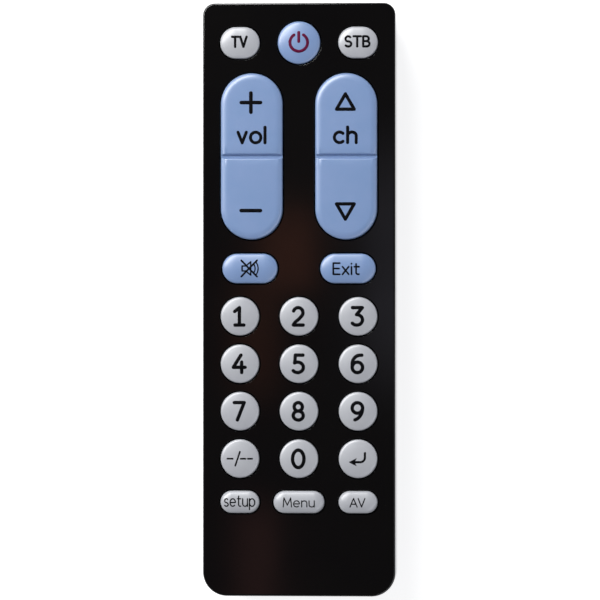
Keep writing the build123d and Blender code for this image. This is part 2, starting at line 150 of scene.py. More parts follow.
finishes = {
    # ABS moulded against a polished tool: piano black, mirror-like, with the faint slow ripple of a moulding
    "polishedAbs": recipeOf(
        {"IOR": 1.53}, (30.0, "#0c0b0c", "#0f0e0e"), (12.0, 0.045, 0.055), (9.0, 0.006, 0.1)),
    # ABS moulded against a spark-eroded tool: an even fine grain that scatters light into a soft grey sheen
    "grainedAbs": recipeOf(
        {"IOR": 1.53}, (2.0, "#141415", "#171718"), (3.0, 0.5, 0.56), (0.35, 0.03, 0.45), (0.9, 0.02, 0.25)),
    # silicone rubber with a sprayed satin coat, pale blue right through, with soft highlights and orange peel
    "blueSilicone": coatedRubber("#809cc8", "#869fcb", 0.08, (0.6, 0.8, 1.0)),
    # the same rubber in a cool light grey
    "greySilicone": coatedRubber("#b7b9bf", "#bec0c5", 0.06, (0.7, 0.7, 0.7)),
    # uncoated carbon-grey silicone sheet, dull and slightly dusty
    "matSilicone": recipeOf({"IOR": 1.43}, (5.0, "#1b1c1f", "#232428"), (4.0, 0.6, 0.75), (0.5, 0.02, 0.3)),
    # screen-printed ink: a thin dense film, duller than the key under it
    "blackInk": printedInk("#040407", "#07070b", 0.08),
    # the same ink in a dark crimson, for the power sign
    "crimsonInk": printedInk("#5c0f33", "#66133b", 0.1),
    # acrylic dyed to pass infrared only: near black with a wine-red depth and a clean gloss
    "smokedAcrylic": recipeOf(
        {"IOR": 1.49, "Transmission Weight": 0.35},
        (10.0, "#1a0709", "#220a0d"), (6.0, 0.03, 0.06), (6.0, 0.004, 0.1)),
    # glass-epoxy board under green solder mask, whose film follows the copper below in low relief
    "solderMask": recipeOf({"IOR": 1.55}, (3.0, "#1d5a35", "#27703f"), (2.0, 0.25, 0.4), (1.2, 0.03, 0.5)),
    # clear epoxy with a slight violet tint, cast round the emitter's die
    "tintedEpoxy": recipeOf(
        {"IOR": 1.52, "Transmission Weight": 0.7},
        (4.0, "#a9abc6", "#b9bbd0"), (2.0, 0.05, 0.1), (2.0, 0.005, 0.1)),
    # moulded epoxy of chip packages: flat charcoal with a sand-like grain
    "mouldedEpoxy": recipeOf({"IOR": 1.55}, (2.0, "#232325", "#2b2b2d"), (1.5, 0.5, 0.65), (0.2, 0.01, 0.5)),
    # dipped ceramic: an ochre lacquer with soft edges and a low gloss
    "dippedCeramic": recipeOf(
        {"IOR": 1.5, "Coat Weight": 0.4, "Coat Roughness": 0.2},
        (2.5, "#b9772c", "#c98a3a"), (2.0, 0.3, 0.45), (0.8, 0.02, 0.3)),
    # tin over copper on the chip's legs: soft, whitish, smeared by solder
    "tinPlate": recipeOf({"Metallic": 1.0}, (0.8, "#b9b9b4", "#d2d2cd"), (0.6, 0.25, 0.4), (0.3, 0.006, 0.3)),
    # nickel over rolled spring steel: warm white metal with fine rolling lines
    "nickelPlate": recipeOf(
        {"Metallic": 1.0},
        (3.0, "#cfcabf", "#d8d4c9"), (1.5, 0.24, 0.3), (0.2, 0.001, 0.2), stretch=(1.0, 1.0, 0.12)),
    # shrunk plastic jacket printed in metallic ink, plain
    "printedJacket": recipeOf(
        {"Metallic": 0.6, "Coat Weight": 0.5, "Coat Roughness": 0.12},
        (1.5, "#5f6770", "#69717a"), (2.0, 0.28, 0.38), (2.5, 0.01, 0.12), stretch=(1.0, 0.1, 1.0)),
    # deep-drawn nickel-plated can, seen at both ends of a cell
    "drawnSteel": recipeOf(
        {"Metallic": 1.0}, (1.0, "#b5b5b0", "#c9c9c4"), (0.8, 0.18, 0.3), (0.4, 0.005, 0.25)),
    # zinc-plated screw, passivated black, rubbed bright in patches
    "blackZinc": recipeOf(
        {"Metallic": 1.0}, (0.8, "#4a4a4d", "#6a6a6c"), (0.6, 0.3, 0.45), (0.25, 0.004, 0.3)),
}
materials = {name: makeFinish(name, recipe) for name, recipe in finishes.items()}
print("finishes made")


# outline of a rectangle with rounded ends, drawn in by inset: four quarter circles, each a centre plus radius
# times cosine and sine, joined by straight runs. lowShare slows the drawing-in on the low side
def roundedOutline(shape, inset=0.0, arcSteps=12, runSteps=6):
    high = shape["high"] - inset
    low = shape["low"] + inset * shape.get("lowShare", 1.0)
    halfX = shape["halfX"] - inset
    arcs = []
    for turn, (side, end) in enumerate([(1, 1), (-1, 1), (-1, -1), (1, -1)]):
        radius = max(shape["cornerHigh" if end > 0 else "cornerLow"] - inset, 0)
        centre = [side * (halfX - radius), high - radius if end > 0 else low + radius]
        angle = np.radians(90 * turn + np.linspace(0, 90, arcSteps + 1))
        arcs.append(centre + radius * np.stack([np.cos(angle), np.sin(angle)], axis=1))
    share = np.linspace(0, 1, runSteps + 1)[1:-1, None]
    loop = []
    for arc, following in zip(arcs, arcs[1:] + arcs[:1]):
        loop += [arc, arc[-1] + (following[0] - arc[-1]) * share]
    return np.concatenate(loop) + [shape["x"], 0]


# quads between the rows of a grid of closed loops, facing outwards where the rows climb
def loopQuads(rows, count):
    row, column = np.meshgrid(np.arange(rows - 1), np.arange(count), indexing="ij")
    first = row * count + column
    second = row * count + (column + 1) % count
    return np.stack([first, second, second + count, first + count], axis=-1).reshape(-1, 4).tolist()


# flat lids over the first and the last loop of a grid
def endLids(rows, count):
    return [list(range(count))[::-1], list(range(count * (rows - 1), count * rows))]


# a surface from a profile: each row is the outline at that inset and height, and capped ends get flat lids
def loft(shape, profile, capLow=True, capHigh=True, **steps):
    rows = [np.insert(roundedOutline(shape, inset, **steps), 2, z, axis=1) for inset, z in profile]
    count = len(rows[0])
    lowLid, highLid = endLids(len(rows), count)
    faces = loopQuads(len(rows), count)
    if capLow:
        faces.append(lowLid)
    if capHigh:
        faces.append(highLid)
    return np.concatenate(rows), faces


# a turned form: each profile point is a radius and a distance along the axis, swept round in a full circle
def turned(profile, foot, axis, count=64):
    axis = np.array(axis, float)
    side = np.array([1.0, 0, 0]) if abs(axis[0]) < 0.5 else np.array([0, 1.0, 0])
    across = np.cross(axis, side)
    angle = np.linspace(0, 2 * math.pi, count, endpoint=False)
    ring = np.cos(angle)[:, None] * side + np.sin(angle)[:, None] * across
    rows = [np.array(foot) + axis * along + ring * radius for radius, along in profile]
    return np.concatenate(rows), loopQuads(len(rows), count)


def joined(*surfaces):
    points, faces, start = [], [], 0
    for somePoints, someFaces in surfaces:
        points.append(somePoints)
        faces += [[start + corner for corner in face] for face in someFaces]
        start += len(somePoints)
    return np.concatenate(points), faces


# the plan of a bar from its sides, its ends and the radius of its corners
def plan(xLow, xHigh, yLow, yHigh, corner=0):
    return {"x": (xLow + xHigh) / 2, "halfX": (xHigh - xLow) / 2, "low": yLow, "high": yHigh,
            "middle": (yLow + yHigh) / 2, "cornerLow": corner, "cornerHigh": corner}


def boxSurface(xLow, xHigh, yLow, yHigh, zLow, zHigh):
    return loft(plan(xLow, xHigh, yLow, yHigh), [(0, zLow), (0, zHigh)], arcSteps=0, runSteps=1)


weldGap = 0.002  # points closer than this become one


# a mesh in metres from points in millimetres, with doubles merged and faces turned outwards. edges sharper
# than crisp degrees stay crisp, and level faces are shaded flat so that long triangles don't show
def meshFrom(name, surface, crisp=40, weld=weldGap, closed=True):
    mesh = bpy.data.meshes.new(name)
    mesh.from_pydata((np.asarray(surface[0]) * millimetre).tolist(), [], surface[1])
    tidy = bmesh.new()
    tidy.from_mesh(mesh)
    bmesh.ops.remove_doubles(tidy, verts=tidy.verts, dist=weld * millimetre)
    if closed:
        bmesh.ops.recalc_face_normals(tidy, faces=tidy.faces)
    tidy.to_mesh(mesh)
    tidy.free()
    shadeMesh(mesh, crisp)
    return mesh


def shadeMesh(mesh, crisp):
    mesh.set_sharp_from_angle(angle=math.radians(crisp))
    normals = np.empty(len(mesh.polygons) * 3, np.float32)
    mesh.polygons.foreach_get("normal", normals)
    mesh.polygons.foreach_set("use_smooth", np.abs(normals[2::3]) < 0.99999)
    mesh.update()


def newObject(name, mesh):
    piece = bpy.data.objects.new(name, mesh)
    bpy.context.scene.collection.objects.link(piece)
    return piece


def solid(name, surface, **options):
    return newObject(name, meshFrom(name, surface, **options))


# dresses a finished piece: its finish, the body that carries it and the nodes it stands for
def dress(piece, finish, body, nodes=()):
    piece.data.materials.clear()
    for name in [finish] if isinstance(finish, str) else finish:
        piece.data.materials.append(materials[name])
    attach(piece, body)
    if nodes:
        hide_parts(*nodes)
    return piece


# joins, cuts or keeps what two closed meshes share, and removes the second
def combine(piece, tool, operation):
    modifier = piece.modifiers.new("combine", "BOOLEAN")
    modifier.solver, modifier.operation, modifier.object = "EXACT", operation, tool
    bpy.context.view_layer.update()
    shaped = bpy.data.meshes.new_from_object(piece.evaluated_get(bpy.context.evaluated_depsgraph_get()))
    piece.modifiers.clear()
    piece.data = shaped
    bpy.data.objects.remove(tool)
    return piece


# a node's box in millimetres
def nodeBox(node):
    low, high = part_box(node)
    return np.array(low) / millimetre, np.array(high) / millimetre


# which points lie inside a polygon: its sides wind round an inside point, counted on a ray to the right
def insidePolygon(points, polygon):
    start, end = polygon, np.roll(polygon, -1, axis=0)
    rise = np.where(end[:, 1] == start[:, 1], 1e-12, end[:, 1] - start[:, 1])
    y = points[:, 1, None]
    turns = (start[:, 1] > y).astype(int) - (end[:, 1] > y)
    crossing = start[:, 0] + (end[:, 0] - start[:, 0]) * (y - start[:, 1]) / rise
    return (turns * (points[:, 0, None] < crossing)).sum(axis=1) != 0


# a plane's points joined into triangles that keep the given edges
def triangulated(points, edges):
    merged = delaunay_2d_cdt(points.tolist(), edges.tolist(), [], 0, 1e-4)
    return np.array(merged[0]), np.array(merged[2])


# triangles over the flat region inside the first loop and outside the others. more holds loose points
def fillBetween(loops, more=()):
    edges, start = [], 0
    for loop in loops:
        index = np.arange(len(loop))
        edges.append(np.column_stack([start + index, start + (index + 1) % len(loop)]))
        start += len(loop)
    flat, faces = triangulated(np.concatenate([*loops, *more]), np.concatenate(edges))
    middles = flat[faces].mean(axis=1)
    kept = insidePolygon(middles, loops[0])
    for hole in loops[1:]:
        kept &= ~insidePolygon(middles, hole)
    return flat, faces[kept].tolist()


# distance in from the edge of a rounded outline: the signed distance to a rounded box, turned inwards
def depthInside(shape, x, y):
    corner = np.where(y > shape["middle"], shape["cornerHigh"], shape["cornerLow"])
    overX = np.abs(x - shape["x"]) - shape["halfX"] + corner
    overY = np.abs(y - shape["middle"]) - (shape["high"] - shape["low"]) / 2 + corner
    outside = np.hypot(np.maximum(overX, 0), np.maximum(overY, 0))
    return corner - outside - np.minimum(np.maximum(overX, overY), 0)


# Keys
keyForm = {
    "edge": 0.25,  # radius of the moulded edge
    "shoulder": 0.7, "fall": 0.1,  # width and drop of the band inside the edge
    "crown": 0.8,  # rise of the top from its edge to its middle
    "inkRoom": 0.03,  # kept under the key's full height for the printed legend
}
powerForm = dict(keyForm, crown=0.95, shoulder=0.8, fall=0.12)
rockerForm = dict(keyForm, crown=0.18, shoulder=1.8, fall=0.5, edge=0.35, lipShare=0.3, grooveCorner=0.35)
keySteps = {"arc": 20, "side": 5, "edge": 8, "shoulder": 8, "crown": 9}
opening = {"clearance": 0.35, "lip": 0.05}


def formOf(node):
    return rockerForm if node.startswith("rocker") else powerForm if node == "key_power" else keyForm


# height lost from the highest point: the crown falls with the square of the way out from the middle, the
# shoulder adds a steeper square near the edge, and the edge itself is a quarter circle
def topDrop(depth, reach, form):
    crown = form["crown"] * (1 - np.clip(depth / reach, 0, 1)) ** 2
    shoulder = form["fall"] * np.clip(1 - depth / form["shoulder"], 0, 1) ** 2
    short = np.clip(1 - depth / form["edge"], 0, 1)
    return crown + shoulder + form["edge"] * (1 - np.sqrt(1 - short ** 2))


# rows of a key from its foot up its side, round the edge and in over the crown to its middle line
def keyProfile(foot, top, reach, form):
    bend = np.radians(np.linspace(0, 90, keySteps["edge"]))
    depth = np.concatenate([form["edge"] * (1 - np.cos(bend)),
                            np.linspace(form["edge"], form["shoulder"], keySteps["shoulder"])[1:],
                            np.linspace(form["shoulder"], reach, keySteps["crown"])[1:]])
    height = top - topDrop(depth, reach, form)
    sides = np.linspace(foot, height[0], keySteps["side"])[:-1]
    return [(0, z) for z in sides] + list(zip(depth.tolist(), height.tolist()))


# the plan of a key from its node's box: a circle, or a bar with full round ends
def keyShape(node):
    low, high = nodeBox(node)
    corner = ((high - low) / 2)[:2].min()
    return dict(plan(low[0], high[0], low[1], high[1], corner), reach=corner, foot=low[2], top=high[2])


# a rocker's upper lobe, round at its far end and all but square at the groove
def upperLobe(shape):
    return dict(shape, low=shape["middle"] + groove["width"] / 2, cornerLow=rockerForm["grooveCorner"],
                lowShare=rockerForm["lipShare"])


# mirrors a surface across a line of constant y
def mirrored(surface, middle):
    points = surface[0] * [1, -1, 1] + [0, 2 * middle, 0]
    return points, [face[::-1] for face in surface[1]]


blueKeys = {"key_power", "key_mute", "key_exit", "rocker_volume", "rocker_channel"}
keyNodes = [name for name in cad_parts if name.startswith(("key_", "rocker_"))]
keyShapes = {name: keyShape(name) for name in keyNodes}
groove = {
    "width": 0.7, "depth": 1.0, "keyUnder": 16.42, "studSize": 4.0, "studOffset": 12.987, "studOverlap": 0.1,
    "sideGap": 0.02,  # the bridge between the lobes lies this far inside their sides
}
for node, shape in keyShapes.items():
    form = formOf(node)
    top = shape["top"] - form["inkRoom"]
    x, middle = shape["x"], shape["middle"]
    if node.startswith("rocker"):
        profile = keyProfile(groove["keyUnder"], top, shape["reach"], form)
        upper = loft(upperLobe(shape), profile, capHigh=False, arcSteps=keySteps["arc"])
        inner = shape["halfX"] - groove["sideGap"]
        bridge = boxSurface(x - inner, x + inner, middle - groove["width"], middle + groove["width"],
                            groove["keyUnder"], shape["top"] - groove["depth"])
        studs = []
        for side in (-1, 1):
            y = middle + side * groove["studOffset"]
            half = groove["studSize"] / 2
            studs.append(boxSurface(x - half, x + half, y - half, y + half, shape["foot"],
                                    groove["keyUnder"] + groove["studOverlap"]))
        surface = joined(upper, mirrored(upper, middle), bridge, *studs)
    else:
        profile = keyProfile(shape["foot"], top, shape["reach"], form)
        surface = loft(shape, profile, capHigh=False, arcSteps=keySteps["arc"])
    colour = "blue" if node in blueKeys else "grey"
    dress(solid(node + "_cap", surface), colour + "Silicone", node, [node])
print("keys made")


# Upper casing: a shell with a rounded rim and a softened lip round every key
bodyCorners = {"tail": 6.0, "nose": 3.0}
upperShell = {
    "wall": 1.8, "ceiling": 1.8, "rim": 0.5, "partingBevel": 0.15,
    "window": {"halfX": 9.0, "y": (70, 75), "z": (8, 14.1)},  # cut past the nose and the parting line
    "crisp": 40,
}
casingSteps = {"arc": 20, "run": 24, "rim": 10, "side": 6, "openingArc": 16, "lip": 5}


# the casing's plan, a little smaller on all sides
def bodyShape(inset=0.0):
    low, high = nodeBox("top_case")
    side = high[0] - inset
    return dict(plan(-side, side, low[1] + inset, high[1] - inset, bodyCorners["tail"]),
                cornerHigh=bodyCorners["nose"])


def upperCasing(shell):
    low, high = nodeBox("top_case")
    parting, face = low[2], high[2]
    under = face - shell["ceiling"]
    body = bodyShape()
    arc, run, openingArc = casingSteps["arc"], casingSteps["run"], casingSteps["openingArc"]
    bend = np.radians(np.linspace(0, 90, casingSteps["rim"]))
    rim = [(shell["rim"] * (1 - math.cos(a)), face - shell["rim"] * (1 - math.sin(a))) for a in bend]
    wall = np.linspace(parting + shell["partingBevel"], rim[0][1], casingSteps["side"])[:-1]
    profile = [(shell["wall"], under), (shell["wall"], parting), (shell["partingBevel"], parting)]
    profile += [(0, z) for z in wall] + rim
    side = loft(body, profile, capLow=False, capHigh=False, arcSteps=arc, runSteps=run)
    turn = np.radians(np.linspace(0, 90, casingSteps["lip"]))
    lip = [(opening["lip"] * math.sin(a), face - opening["lip"] * (1 - math.cos(a))) for a in turn]
    lip.append((opening["lip"], under))
    lips = []
    outer = [roundedOutline(body, shell["rim"], arc, run)]
    inner = [roundedOutline(body, shell["wall"], arc, run)]
    for shape in keyShapes.values():
        grown = dict(shape)
        for end, sign in (("halfX", 1), ("low", -1), ("high", 1), ("cornerLow", 1), ("cornerHigh", 1)):
            grown[end] = shape[end] + sign * (opening["clearance"] + opening["lip"])
        lips.append(loft(grown, lip, capLow=False, capHigh=False, arcSteps=openingArc))
        outer.append(roundedOutline(grown, 0, openingArc))
        inner.append(roundedOutline(grown, opening["lip"], openingArc))
    lids = []
    for loops, z in ((outer, face), (inner, under)):
        points, triangles = fillBetween(loops)
        lids.append((np.insert(points, 2, z, axis=1), triangles))
    return joined(side, *lips, *lids)


topCase = solid("upper_casing", upperCasing(upperShell))
slot = upperShell["window"]
windowCut = solid("windowCut", boxSurface(-slot["halfX"], slot["halfX"], *slot["y"], *slot["z"]))
combine(topCase, windowCut, "DIFFERENCE")
shadeMesh(topCase.data, upperShell["crisp"])
dress(topCase, "polishedAbs", "body", ["top_case"])
print("upper casing made")


# Lower casing: one smooth belly, over the casing's own inner walls
belly = {
    "backInset": 3.6, "power": 2.714, "edge": 0.6, "partingBevel": 0.15, "parting": 9.1,
    "liftStart": 12.0, "lift": 3.0, "skin": 1.2,
    "core": 0.6, "coreTop": 16.0,  # the node's own walls are kept inside this inset, up to this height
    "overlap": 1,  # the hollow cut runs this far past the parting line
    "turnedIn": 2.5,  # how far in the side reads the back's height
    "settle": 3,  # height over which the side then settles onto the back
    "net": {"halfX": 17.5, "before": 2, "short": 6, "step": 2.0},  # loose points that round the back
    "crisp": 30,
}
bellySteps = {"arc": 20, "run": 48, "side": 16, "turn": 7, "across": 11}


# height of the underside: level, then a circle's arc that climbs to the nose
def backHeight(y, form):
    reach = nodeBox("bottom_case")[1][1] - form["liftStart"]
    radius = (reach ** 2 + form["lift"] ** 2) / (2 * form["lift"])
    along = np.clip(y - form["liftStart"], 0, None)
    return radius - np.sqrt(radius ** 2 - along ** 2)


# a closed belly drawn in by inset: the side's inset is the back's inset times a power of the share of the way
# down, and a curve with one control point turns it under into the back. drift is each point's way in per
# millimetre of inset
def bellyForm(form, inset, top, bevel=0.0):
    body = bodyShape(inset)
    tighter = dict(body, halfX=body["halfX"] - 1, low=body["low"] + 1, high=body["high"] - 1)
    base = roundedOutline(body, 0, bellySteps["arc"], bellySteps["run"])
    drift = roundedOutline(tighter, 0, bellySteps["arc"], bellySteps["run"]) - base
    floor = backHeight(base[:, 1] + form["turnedIn"] * drift[:, 1], form) + inset
    rows = [(np.full(len(base), bevel), np.full(len(base), top))]
    if top > form["parting"]:
        rows.append((np.zeros(len(base)), np.full(len(base), form["parting"])))

    def drawn(z):
        return form["backInset"] * np.clip(1 - z / form["parting"], 0, 1) ** form["power"]

    start = form["parting"] - bevel
    turn = floor + form["edge"]
    for share in np.linspace(0, 1, bellySteps["side"]):
        z = start + (turn - start) * share
        rows.append((drawn(z), z))
    tiny = 0.01
    slope = (drawn(turn) - drawn(turn + tiny)) / tiny
    knee = drawn(turn) + form["edge"] * slope
    for share in np.linspace(0, 1, bellySteps["turn"])[1:]:
        a, b, c = (1 - share) ** 2, 2 * share * (1 - share), share ** 2
        rows.append((a * drawn(turn) + b * knee + c * (knee + form["edge"]), a * turn + (b + c) * floor))
    points = []
    for drawnIn, z in rows:
        spot = base + drawnIn[:, None] * drift
        share = np.clip(1 - (z - floor) / form["settle"], 0, 1)
        points.append(np.column_stack([spot, z + (backHeight(spot[:, 1], form) + inset - floor) * share]))
    points = points[::-1]  # rows climb from the back to the parting line
    count = len(base)
    net = form["net"]
    y, x = np.meshgrid(np.arange(form["liftStart"] - net["before"], body["high"] - net["short"], net["step"]),
                       np.linspace(-net["halfX"], net["halfX"], bellySteps["across"]))
    flat, faces = fillBetween([points[0][:, :2]], [np.column_stack([x.ravel(), y.ravel()])])
    back = np.column_stack([flat, backHeight(flat[:, 1], form) + inset])
    side = (np.concatenate(points), loopQuads(len(points), count))
    lid = (points[-1], [list(range(count))])
    return joined(side, (back, faces), lid)


# a copy of a node's mesh with its loose triangles merged
def mergedCopy(node, name):
    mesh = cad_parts[node].data.copy()
    tidy = bmesh.new()
    tidy.from_mesh(mesh)
    bmesh.ops.remove_doubles(tidy, verts=tidy.verts, dist=weldGap * millimetre)
    bmesh.ops.dissolve_limit(tidy, angle_limit=0.001, verts=tidy.verts, edges=tidy.edges)
    tidy.to_mesh(mesh)
    tidy.free()
    mesh.name = name
    return newObject(name, mesh)


track = {
    "tongue": 0.9, "low": 0.5, "high": 1.3, "stop": 6.0, "slack": 0.1,
    "plateEnd": -75, "tongueEnd": -75.5, "under": -1,  # past the tail and the underside
}


# the door's plate and the tongues at its sides, or with slack the larger way that they slide in
def doorWay(slack):
    low, high = nodeBox("battery_door")
    half = high[0] - track["tongue"] + slack
    foot = low[2] if slack == 0 else track["under"]
    plate = boxSurface(-half, half, track["plateEnd"], high[1] + slack, foot, high[2] + slack)
    reach = half + track["tongue"]
    tongues = boxSurface(-reach, reach, track["tongueEnd"], high[1] - track["stop"], track["low"] - slack,
                         track["high"] + slack)
    return combine(solid("doorWay", plate), solid("tongues", tongues), "UNION")


lowerCase = mergedCopy("bottom_case", "lower_casing")
combine(lowerCase, solid("core", bellyForm(belly, belly["core"], belly["coreTop"])), "INTERSECT")
skin = solid("skin", bellyForm(belly, 0.0, belly["parting"], belly["partingBevel"]))
hollow = bellyForm(belly, belly["skin"], belly["parting"] + belly["overlap"])
combine(skin, solid("hollow", hollow), "DIFFERENCE")
combine(lowerCase, skin, "UNION")
combine(lowerCase, doorWay(track["slack"]), "DIFFERENCE")
shadeMesh(lowerCase.data, belly["crisp"])
dress(lowerCase, "grainedAbs", "body", ["bottom_case"])
print("lower casing made")


# Battery door: the same belly, cut to the door's plate, with its grip grooves
grip = {"bars": 6, "width": 14.0, "bar": 0.8, "pitch": 1.6, "plainPitches": 2, "depth": 0.6}
door = doorWay(0.0)
door.name = "door_plate"
combine(door, solid("doorForm", bellyForm(belly, 0.0, belly["parting"])), "INTERSECT")
innerEnd = nodeBox("battery_door")[1][1]
grooves = []
for bar in range(grip["bars"]):
    y = innerEnd - (bar + grip["plainPitches"]) * grip["pitch"]
    half = grip["bar"] / 2
    shape = plan(-grip["width"] / 2, grip["width"] / 2, y - half, y + half, half)
    grooves.append(loft(shape, [(0, track["under"]), (0, grip["depth"])], arcSteps=6, runSteps=2))
combine(door, solid("grooves", joined(*grooves)), "DIFFERENCE")
shadeMesh(door.data, belly["crisp"])
dress(door, "grainedAbs", "door", ["battery_door"])
print("door made")


# Window: a pane with softened edges in front of its flange, lofted from back to front and stood upright
pane = {"edge": 0.35, "corner": 0.3, "flange": 1.0, "wider": 1.7, "arc": 4, "run": 6, "bend": 6}


def windowPane(form):
    low, high = nodeBox("ir_window")
    step, wider, edge = low[1] + form["flange"], form["wider"], form["edge"]
    bend = np.radians(np.linspace(0, 90, form["bend"]))
    profile = [(0, low[1]), (0, step), (wider, step)]
    profile += [(wider + edge * (1 - math.cos(a)), high[1] - edge * (1 - math.sin(a))) for a in bend]
    rows = []
    for inset, y in profile:
        side, rise = high[0] - inset, max(inset - wider, 0)
        shape = plan(-side, side, low[2] + rise, high[2] - rise, form["corner"])
        loop = roundedOutline(shape, 0, form["arc"], form["run"])
        rows.append(np.column_stack([-loop[:, 0], np.full(len(loop), y), loop[:, 1]]))
    count = len(rows[0])
    return np.concatenate(rows), loopQuads(len(rows), count) + endLids(len(rows), count)


dress(solid("window_pane", windowPane(pane)), "smokedAcrylic", "body", ["ir_window"])


# Cells: a jacket crimped over a drawn can, with the raised terminal at one end
cellForm = [  # radius and distance from the flat end
    (0.0, 0.3), (3.7, 0.3), (3.95, 0.2), (4.15, 0.03), (4.4, 0.0), (4.8, 0.03), (5.08, 0.15), (5.21, 0.38),
    (5.25, 0.7), (5.25, 22.0), (5.25, 43.0), (5.21, 43.32), (5.08, 43.55), (4.8, 43.68), (4.4, 43.7),
    (4.1, 43.6), (3.9, 43.45), (2.4, 43.45), (2.0, 43.5), (1.9, 43.6), (1.9, 44.2), (1.82, 44.4),
    (1.65, 44.49), (1.4, 44.5), (0.0, 44.5),
]
jacket = {"first": 5, "last": 13, "inner": 4.5, "crisp": 50}  # its ends' profile points and a radius inside it
for node, towards in (("battery_left", 1), ("battery_right", -1)):
    low, high = nodeBox(node)
    middle = (low + high) / 2
    foot = [middle[0], low[1] if towards > 0 else high[1], middle[2]]
    cell = solid(node + "_cell", turned(cellForm, foot, (0, towards, 0)), crisp=jacket["crisp"])
    dress(cell, ["drawnSteel", "printedJacket"], "body", [node])
    centres = np.empty(len(cell.data.polygons) * 3, np.float32)
    cell.data.polygons.foreach_get("center", centres)
    along = np.abs(centres[1::3] / millimetre - foot[1])
    out = np.hypot(centres[0::3] / millimetre - foot[0], centres[2::3] / millimetre - foot[2])
    start, end = cellForm[jacket["first"]][1], cellForm[jacket["last"]][1]
    printed = (out > jacket["inner"]) & (along > start) & (along < end)
    cell.data.polygons.foreach_set("material_index", printed.astype(np.int32))
print("window and cells made")


# Screw: the radius swings with height less turn, which winds one helical thread round the core
screwForm = {
    "head": 1.6, "headHigh": 1.2, "rounding": ((0.3, 0), (0.08, 0.1), (0, 0.35)),  # insets and heights
    "neck": 0.6, "core": 0.62, "thread": 0.8, "threadStart": 0.4, "pitch": 0.6, "point": 1.2,
    "slot": (1.0, 0.26), "slotDeep": 0.7, "overrun": 1,  # half the length and width of the cross slot's arms
    "pointShare": 0.15, "around": 48, "rows": 90, "crisp": 35,
}
screwLow, screwHigh = nodeBox("case_screw")
screwY = (screwLow[1] + screwHigh[1]) / 2


def screwSurface(form):
    foot, head, headHigh, thread = screwLow[2], form["head"], form["headHigh"], form["thread"]
    neck = headHigh + form["neck"]
    profile = [(0, 0)] + [(head - inset, rise) for inset, rise in form["rounding"]]
    profile += [(head, headHigh), (thread, headHigh), (thread, neck), (0, neck)]
    top = turned(profile, (0, screwY, foot), (0, 0, 1), form["around"])
    angle = np.linspace(0, 2 * math.pi, form["around"], endpoint=False)
    height = np.linspace(headHigh + form["threadStart"], screwHigh[2] - foot, form["rows"])
    phase = np.mod(height[:, None] / form["pitch"] - angle / (2 * math.pi), 1)
    radius = form["core"] + (thread - form["core"]) * (1 - np.abs(2 * phase - 1))
    radius = radius * np.clip((height[-1] - height) / form["point"], form["pointShare"], 1)[:, None]
    grid = np.stack([radius * np.sin(angle), screwY - radius * np.cos(angle),
                     np.broadcast_to(foot + height[:, None], radius.shape)], axis=-1)
    faces = loopQuads(*radius.shape) + endLids(*radius.shape)
    return joined(top, (grid[:, ::-1].reshape(-1, 3), faces))


screw = solid("casing_screw", screwSurface(screwForm))
for halfX, halfY in (screwForm["slot"], screwForm["slot"][::-1]):
    slot = boxSurface(-halfX, halfX, screwY - halfY, screwY + halfY, screwLow[2] - screwForm["overrun"],
                      screwLow[2] + screwForm["slotDeep"])
    combine(screw, solid("slot", slot), "DIFFERENCE")
shadeMesh(screw.data, screwForm["crisp"])
dress(screw, "blackZinc", "body", ["case_screw"])

# Webs: a thin collar from the mat up to each key, made as it stands with the key at rest
webForm = {
    "grow": 0.5, "under": 16.15, "rise": 0.75, "thick": 0.18, "inside": 0.2, "arc": 8,
    # shares of the way in and of the rise
    "climbShares": ((0.0, 0.0), (0.25, 0.25), (0.5, 0.42), (0.75, 0.7), (1.0, 1.0)),
}
for node, shape in keyShapes.items():
    rows = []
    for share, lift in webForm["climbShares"]:
        grow = webForm["grow"] - share * (webForm["grow"] + webForm["inside"])
        rows.append((-grow, webForm["under"] + lift * webForm["rise"]))
    rows += [(inset, z - webForm["thick"]) for inset, z in rows[::-1]]
    rows.append(rows[0])
    web = solid(node + "_web", loft(shape, rows, False, False, arcSteps=webForm["arc"]))
    web.data.materials.append(materials["matSilicone"])
    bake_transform(web)
print("screw and webs made")

# Nodes that keep their own solids take a finish
plainNodes = {
    "matSilicone": ["keypad_mat"], "solderMask": ["circuit_board"], "tintedEpoxy": ["ir_emitter"],
    "mouldedEpoxy": ["controller_chip", "transistor", "chip_resistors"], "tinPlate": ["chip_leads"],
    "dippedCeramic": ["resonator", "capacitor"],
    "nickelPlate": ["contact_positive", "contact_negative", "contact_bridge"],
}
for finish, nodes in plainNodes.items():
    for node in nodes:
        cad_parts[node].data.materials.clear()
        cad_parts[node].data.materials.append(materials[finish])

# Legends: generic signs, figures and plain words, as thin films of ink that lie on the key tops
ink = {"lift": 0.012, "thick": 0.03, "grid": 0.45, "weld": 0.0005}


# points of an ellipse's arc, by angle in degrees: centre plus radii times cosine and sine
def bow(x, y, radiusX, radiusY, start, end):
    angle = np.radians(np.linspace(start, end, 8 + int(abs(end - start) / 12)))
    return np.stack([x + radiusX * np.cos(angle), y + radiusY * np.sin(angle)], axis=1).tolist()


# a flat stroke of even width along a path: the path moved to both sides along its normals, with half circles
# at its ends
def stroke(path, width):
    path = np.array(path, float)
    run = np.gradient(path, axis=0)
    run /= np.hypot(run[:, 0], run[:, 1])[:, None]
    aside = np.stack([run[:, 1], -run[:, 0]], axis=1) * width / 2
    half = np.radians(np.linspace(-90, 90, 9))[1:-1]
    caps = []
    for end, heading in ((path[-1], run[-1]), (path[0], -run[0])):
        turn = np.arctan2(heading[1], heading[0]) + half
        caps.append(end + width / 2 * np.stack([np.cos(turn), np.sin(turn)], axis=1))
    return np.concatenate([path + aside, caps[0], (path - aside)[::-1], caps[1]])


def strokes(paths, width):
    return [stroke(path, width) for path in paths]


